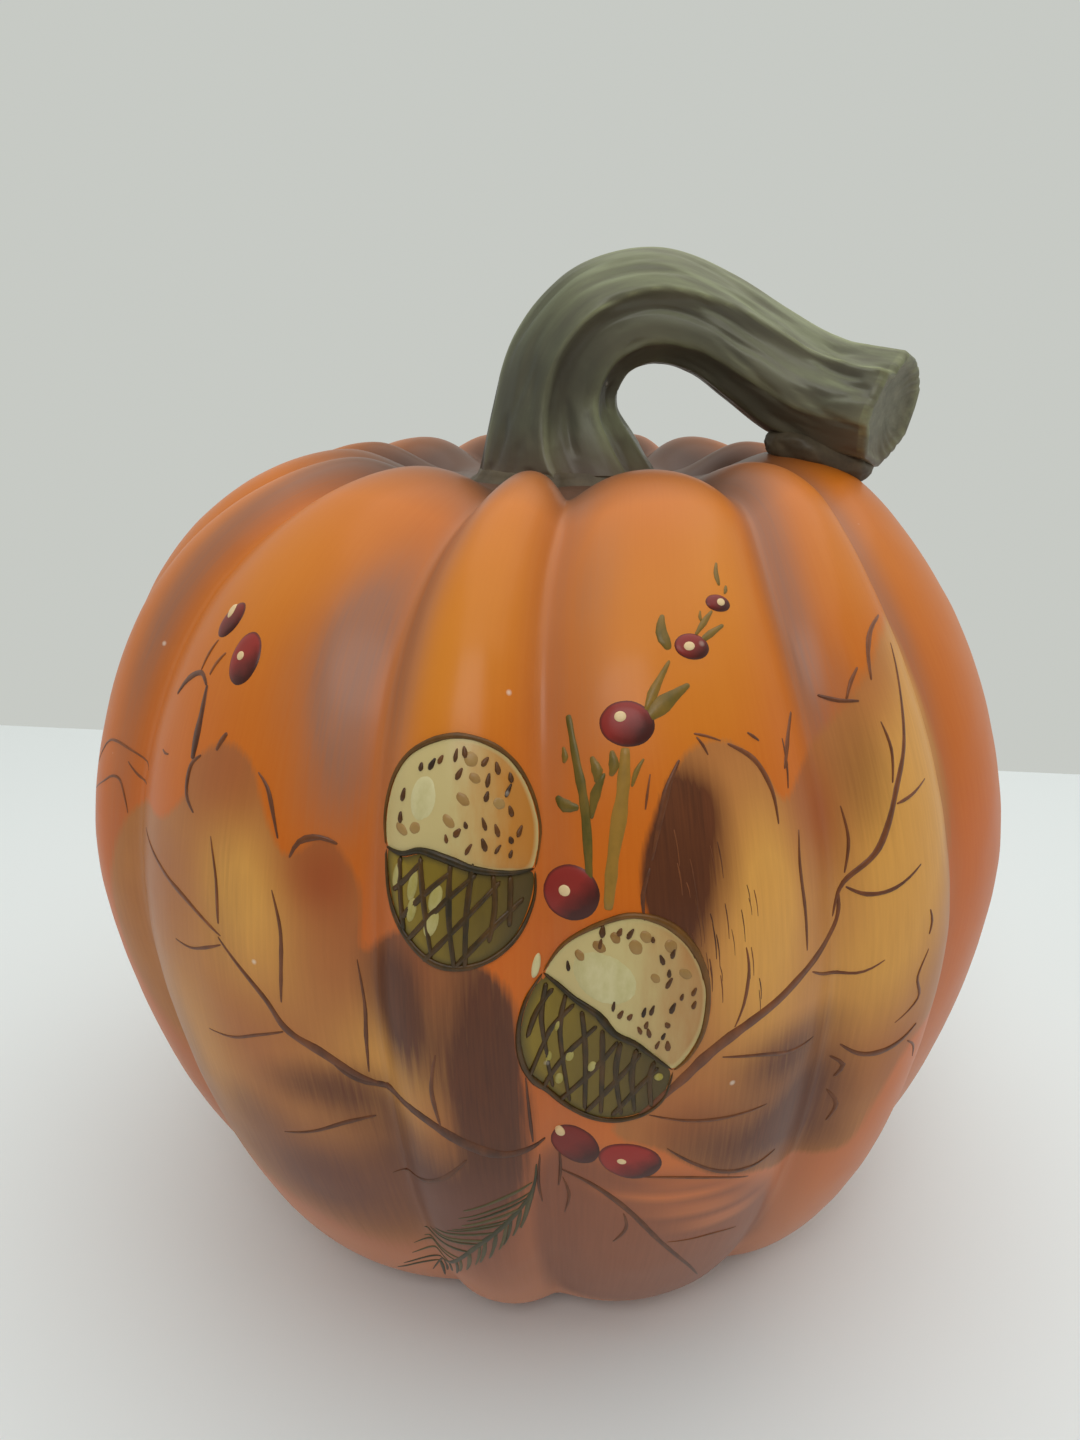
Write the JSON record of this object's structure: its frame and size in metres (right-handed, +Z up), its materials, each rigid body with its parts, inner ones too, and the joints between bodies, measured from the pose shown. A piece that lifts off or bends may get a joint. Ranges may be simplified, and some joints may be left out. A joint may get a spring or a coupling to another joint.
{
  "type": "ceramic pumpkin figure",
  "caption": "Hollow fluted ceramic pumpkin with an arched stem bonded at base and tip, hand-painted with acorns, berries and oak leaves, on felt pads.",
  "frame": {"origin": "centre of the footprint, on the surface that the felt pads stand on", "axes": "+Z up, -Y towards the painted front, +X to the right side that the stem bends over"},
  "size_m": [0.1767, 0.1771, 0.1877],
  "materials": {
    "painted_body": "airbrushed orange and hand-painted under a clear gloss varnish",
    "painted_stem": "grey-brown wash with dry-brushed green ridges under satin varnish",
    "slip_joint": "brown-washed clay slip under satin varnish",
    "felt": "pressed felt, self-adhesive"
  },
  "bodies": {
    "root": {"pumpkin_body": "painted_body", "stem": "painted_stem", "stem_base_slip": "slip_joint", "stem_tip_slip": "slip_joint", "felt_pad_front_left": "felt", "felt_pad_front_right": "felt", "felt_pad_back_right": "felt", "felt_pad_back_left": "felt"}
  },
  "joints": []
}
